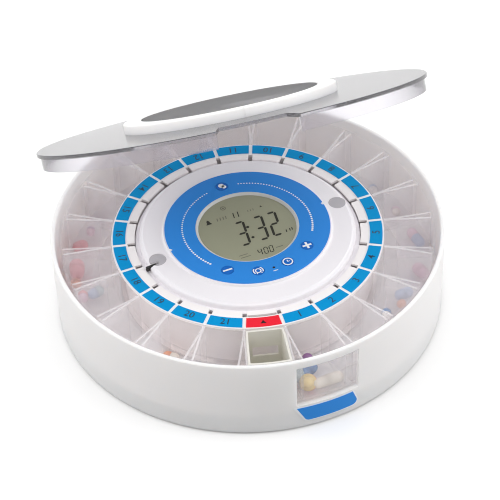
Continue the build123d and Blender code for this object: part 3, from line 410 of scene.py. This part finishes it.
def wall_point(arc, height, lift):
    """Point on the tub wall, arc mm to the right of the window's middle."""
    radius = RIM_RADIUS - WALL_LEAN * (RIM_HEIGHT - height)
    return ring_point(radius + lift, DOSE + math.degrees(arc / radius), height)


def rounded(corners, steps=8):
    """Outline through x, y, radius corners."""
    outline = []
    for i, (x, y, radius) in enumerate(corners):
        here = Vector((x, y))
        before = (Vector(corners[i - 1][:2]) - here).normalized()
        after = (Vector(corners[(i + 1) % len(corners)][:2]) - here).normalized()
        if radius == 0:
            outline.append((x, y))
            continue
        half = before.angle(after) / 2
        middle = here + (before + after).normalized() * radius / math.sin(half)
        start = here + before * radius / math.tan(half) - middle
        turn = (math.pi - 2 * half) / steps
        for step in range(steps + 1):
            spoke = start.copy()
            spoke.rotate(Matrix.Rotation(turn * step, 2))
            outline.append(tuple(middle + spoke))
    return outline


film = bmesh.new()
edge = rounded([(-20.2, 17.1, 0), (-13.7, 5.2, 3.8), (19.5, 5.2, 3.8), (15.2, 17.1, 0)])
film.faces.new([film.verts.new((x, y, 0)) for x, y in edge])
for cut in range(-19, 20):
    geometry = film.verts[:] + film.edges[:] + film.faces[:]
    bmesh.ops.bisect_plane(film, geom=geometry, plane_co=(cut, 0, 0), plane_no=(1, 0, 0))
for vert in film.verts:
    vert.co = wall_point(vert.co.x, vert.co.y, FILM_LIFT)
film_data = bpy.data.meshes.new("badge_edge")
film.to_mesh(film_data)
film.free()
film_data.materials.append(white_ink)
badge_edge = bpy.data.objects.new("badge_edge", film_data)
bpy.context.collection.objects.link(badge_edge)
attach(badge_edge, "base")

# ---- capsules and tablets in the pockets ----
POLE_RADIUS = 0.02  # of the small face that closes each end


def capsule(name, centre, direction, length, radius, first, second, step=1.04, body="tray"):
    """Two-tone capsule, first colour at the end it points to, which is step times as wide."""
    count, rings = 20, 7
    profile = []
    straight = length / 2 - radius
    for i in range(rings + 1):
        a = math.pi / 2 * i / rings
        profile.append((-straight - radius * math.cos(a), radius * math.sin(a)))
    profile.append((0.0, radius))
    profile.append((0.0, radius * step))
    for i in range(rings + 1):
        a = math.pi / 2 * (1 - i / rings)
        profile.append((straight + radius * math.cos(a), radius * step * math.sin(a)))
    bm = bmesh.new()
    loops = []
    for reach, r in profile:
        r = max(r, POLE_RADIUS)
        loop = []
        for j in range(count):
            a = 2 * math.pi * j / count
            loop.append(bm.verts.new((r * math.cos(a) * MM, r * math.sin(a) * MM, reach * MM)))
        loops.append(loop)
    for i, (low, high) in enumerate(zip(loops, loops[1:])):
        for j in range(count):
            k = (j + 1) % count
            face = bm.faces.new((low[j], low[k], high[k], high[j]))
            face.material_index = 1 if i <= rings else 0
            face.smooth = True
    bm.faces.new(list(reversed(loops[0]))).material_index = 1
    bm.faces.new(loops[-1])
    data = bpy.data.meshes.new(name)
    bm.to_mesh(data)
    bm.free()
    data.materials.append(first)
    data.materials.append(second)
    turn = Vector(direction).normalized().to_track_quat("Z", "Y").to_matrix().to_4x4()
    data.transform(Matrix.Translation(Vector(centre) * MM) @ turn)
    obj = bpy.data.objects.new(name, data)
    bpy.context.collection.objects.link(obj)
    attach(obj, body)


def pill(rgb):
    """Smooth coloured coat of a capsule or tablet."""
    return material("pill_%d_%d_%d" % rgb, rgb, 0.25)


red = pill((224, 72, 86))
yellow = pill((240, 214, 150))
ivory = pill((240, 232, 222))
blue = pill((106, 148, 200))
teal = pill((168, 190, 196))
purple = pill((160, 118, 166))
coral = pill((242, 140, 148))
orange = pill((240, 176, 146))
pink = pill((226, 186, 204))
pale_blue = pill((158, 182, 216))
white = pill((244, 242, 240))

FLOOR = 17.5  # top of the pockets' floor
CONTENTS = [
    # name, x, y, height over the floor, direction, length, radius, colours
    ("capsule_red", 1.8, -98.0, 5.1, (-0.36, -0.6, 0.72), 12.0, 4.8, yellow, red, 0.68),
    ("capsule_ivory", 13.0, -98.2, 3.4, (1.0, 0.12, -0.02), 18.5, 3.1, ivory, ivory),
    ("capsule_blue", 5.4, -88.2, 3.6, (0.8, 0.5, 0.1), 12.0, 3.1, blue, blue),
    ("capsule_teal", -0.8, -89.6, 4.4, (0.1, 1.0, 0.0), 11.0, 3.2, teal, teal),
    ("capsule_purple", 7.6, -80.6, 3.2, (0.2, 1.0, 0.1), 9.0, 3.0, purple, purple),
    ("pocket_2_pink", 54.0, -75.6, 3.0, (0.7, 0.7, 0.0), 9.0, 2.8, pink, white),
    ("pocket_2_blue", 60.4, -60.8, 3.0, (0.4, 1.0, 0.0), 8.0, 2.6, pale_blue, white),
    ("pocket_3_blue", 75.4, -48.4, 3.0, (1.0, 0.1, 0.0), 11.0, 3.0, pale_blue, pale_blue),
    ("pocket_3_orange", 71.4, -55.1, 2.4, (1.0, 0.3, 0.0), 5.6, 2.3, orange, orange),
    ("pocket_4_pink", 90.8, -34.8, 3.4, (-0.3, 1.0, 0.0), 12.0, 3.4, pink, pink),
    ("pocket_5_pink_blue", 98.0, -7.5, 3.2, (0.12, -1.0, 0.0), 15.0, 3.0, pale_blue, pink),
    ("pocket_6_pink", 95.5, 18.2, 2.6, (0.3, 1.0, 0.0), 6.4, 2.5, pink, ivory),
    ("pocket_7_blue", 89.5, 40.5, 2.7, (0.3, 1.0, 0.0), 7.0, 2.6, pale_blue, white),
    ("pocket_16_purple", -76.1, 61.4, 2.5, (0.4, 1.0, 0.0), 6.4, 2.4, purple, pink),
    ("pocket_16_coral", -85.3, 50.2, 3.3, (1.0, 0.15, 0.0), 9.4, 3.2, coral, coral),
    ("pocket_17_coral", -92.4, 31.0, 4.3, (0.25, 1.0, 0.0), 14.0, 4.2, coral, coral),
    ("pocket_17_orange", -95.6, 21.6, 2.9, (0.4, -0.9, 0.0), 7.0, 2.8, orange, orange),
    ("pocket_18_pink", -94.8, 9.6, 2.9, (0.2, 1.0, 0.0), 8.0, 2.8, coral, pink),
    ("pocket_18_blue", -87.0, 10.4, 3.1, (0.9, 0.3, 0.0), 10.0, 3.0, teal, pale_blue),
    ("pocket_20_ivory", -61.8, -53.1, 3.1, (0.7, -0.7, 0.0), 10.0, 3.0, ivory, orange),
    ("pocket_21_blue", -43.0, -69.6, 3.1, (0.9, -0.4, 0.0), 9.0, 2.8, blue, white),
    ("pocket_21_purple", -32.6, -74.6, 3.1, (0.9, -0.4, 0.0), 9.0, 2.8, purple, ivory),
]
for name, x, y, up, *form in CONTENTS:
    capsule(name, (x, y, FLOOR + up), *form)

# ---- studio: camera, backdrop, light ----
camera_data = bpy.data.cameras.new("camera")
camera_data.lens = 180.75
camera_data.sensor_width = 36.0
camera_data.clip_start = 0.05
camera = bpy.data.objects.new("camera", camera_data)
bpy.context.collection.objects.link(camera)
camera.matrix_world = Matrix((
    (0.9507307, 0.2284515, -0.2095734, -0.294843),
    (-0.3088187, 0.6384794, -0.7049646, -0.995373),
    (-0.0272419, 0.7349516, 0.6775721, 0.991308),
    (0.0, 0.0, 0.0, 1.0),
))
scene = bpy.context.scene
scene.camera = camera

def graph(tree, kind, operation, *inputs):
    """A math node whose inputs are sockets or numbers."""
    node = tree.nodes.new(kind)
    node.operation = operation
    for i, value in enumerate(inputs):
        if isinstance(value, (int, float, tuple)):
            node.inputs[i].default_value = value
        else:
            tree.links.new(value, node.inputs[i])
    return node.outputs["Value"]


def any_of(tree, *sockets):
    """1 where any of the sockets is 1."""
    found = sockets[0]
    for socket in sockets[1:]:
        found = graph(tree, "ShaderNodeMath", "MAXIMUM", found, socket)
    return found


def show(tree, seen, hidden, visible, out):
    """Shows one shader where seen is 1, and another, the one that lights the object, elsewhere."""
    mix = tree.nodes.new("ShaderNodeMixShader")
    tree.links.new(seen, mix.inputs[0])
    tree.links.new(hidden.outputs[0], mix.inputs[1])
    tree.links.new(visible.outputs[0], mix.inputs[2])
    tree.links.new(mix.outputs[0], out.inputs["Surface"])


# The camera, glass and metal see a pale floor, and the object is lit by a plainer one.
FLOOR_SEEN, FLOOR_GLOW, FLOOR_BOUNCE = 0.9, 0.06, 0.4
floor_data = bpy.data.meshes.new("floor")
floor_data.from_pydata([(-6, -6, 0), (6, -6, 0), (6, 6, 0), (-6, 6, 0)], [], [(0, 1, 2, 3)])
floor = bpy.data.objects.new("floor", floor_data)
bpy.context.collection.objects.link(floor)
floor_mat = bpy.data.materials.new("floor")
floor_mat.use_nodes = True
tree = floor_mat.node_tree
tree.nodes.clear()
out = tree.nodes.new("ShaderNodeOutputMaterial")
seen = tree.nodes.new("ShaderNodeBsdfDiffuse")
seen.inputs["Color"].default_value = (*[FLOOR_SEEN] * 3, 1.0)
bounce = tree.nodes.new("ShaderNodeBsdfDiffuse")
bounce.inputs["Color"].default_value = (*[FLOOR_BOUNCE] * 3, 1.0)
lift = tree.nodes.new("ShaderNodeEmission")
lift.inputs["Strength"].default_value = FLOOR_GLOW
add = tree.nodes.new("ShaderNodeAddShader")
path = tree.nodes.new("ShaderNodeLightPath")
tree.links.new(seen.outputs[0], add.inputs[0])
tree.links.new(lift.outputs[0], add.inputs[1])
watched = any_of(tree, path.outputs["Is Camera Ray"], path.outputs["Is Transmission Ray"],
                 path.outputs["Is Glossy Ray"])
show(tree, watched, bounce, add, out)
floor_data.materials.append(floor_mat)

world = bpy.data.worlds.new("world")
scene.world = world
world.use_nodes = True
tree = world.node_tree
tree.nodes.clear()
out = tree.nodes.new("ShaderNodeOutputWorld")
coord = tree.nodes.new("ShaderNodeTexCoord")


def along(direction):
    """How far the looked-up direction points along another one, -1 to 1."""
    looked = coord.outputs["Generated"]
    return graph(tree, "ShaderNodeVectorMath", "DOT_PRODUCT", looked, direction)


# Soft boxes round the camera's direction: degrees to its right, elevation, sharpness, strength.
VIEW_AZIMUTH = -16.5
SKY_BASE = 0.22
SOFT_BOXES = (
    (-90.0, 30.0, 6.0, 2.6),
    (-90.0, 8.0, 8.0, 0.5),
    (90.0, 30.0, 6.0, 1.6),
    (90.0, 8.0, 8.0, 2.8),
    (0.0, 60.0, 6.0, 1.1),
    (0.0, 90.0, 4.0, 0.8),
    (180.0, 25.0, 6.0, 1.6),
)
total = graph(tree, "ShaderNodeMath", "ADD", SKY_BASE, 0.0)
for turn, elevation, sharpness, strength in SOFT_BOXES:
    level = ring_point(1.0 / MM, VIEW_AZIMUTH + turn, 0.0) * math.cos(math.radians(elevation))
    toward = along(tuple(level + Vector((0.0, 0.0, math.sin(math.radians(elevation))))))
    facing = graph(tree, "ShaderNodeMath", "MAXIMUM", toward, 0.0)
    lobe = graph(tree, "ShaderNodeMath", "POWER", facing, sharpness)
    box = graph(tree, "ShaderNodeMath", "MULTIPLY", lobe, strength)
    total = graph(tree, "ShaderNodeMath", "ADD", total, box)
sky = tree.nodes.new("ShaderNodeBackground")
tree.links.new(total, sky.inputs["Strength"])
plain = tree.nodes.new("ShaderNodeBackground")
plain.inputs["Color"].default_value = (1.0, 1.0, 1.0, 1.0)
path = tree.nodes.new("ShaderNodeLightPath")
# Light that reaches a matt surface through clear plastic comes from the soft boxes.
first = graph(tree, "ShaderNodeMath", "LESS_THAN", path.outputs["Diffuse Depth"], 0.5)
through = graph(tree, "ShaderNodeMath", "MULTIPLY", path.outputs["Is Transmission Ray"], first)
watched = any_of(tree, path.outputs["Is Camera Ray"], path.outputs["Is Glossy Ray"], through)
show(tree, watched, sky, plain, out)

scene.render.resolution_x = 500
scene.render.resolution_y = 500
scene.view_settings.view_transform = "Standard"
scene.render.engine = "CYCLES"
scene.cycles.samples = 256
scene.cycles.filter_width = 1.1
scene.cycles.max_bounces = 24
scene.cycles.diffuse_bounces = 16
scene.cycles.transmission_bounces = 14
scene.cycles.transparent_max_bounces = 64
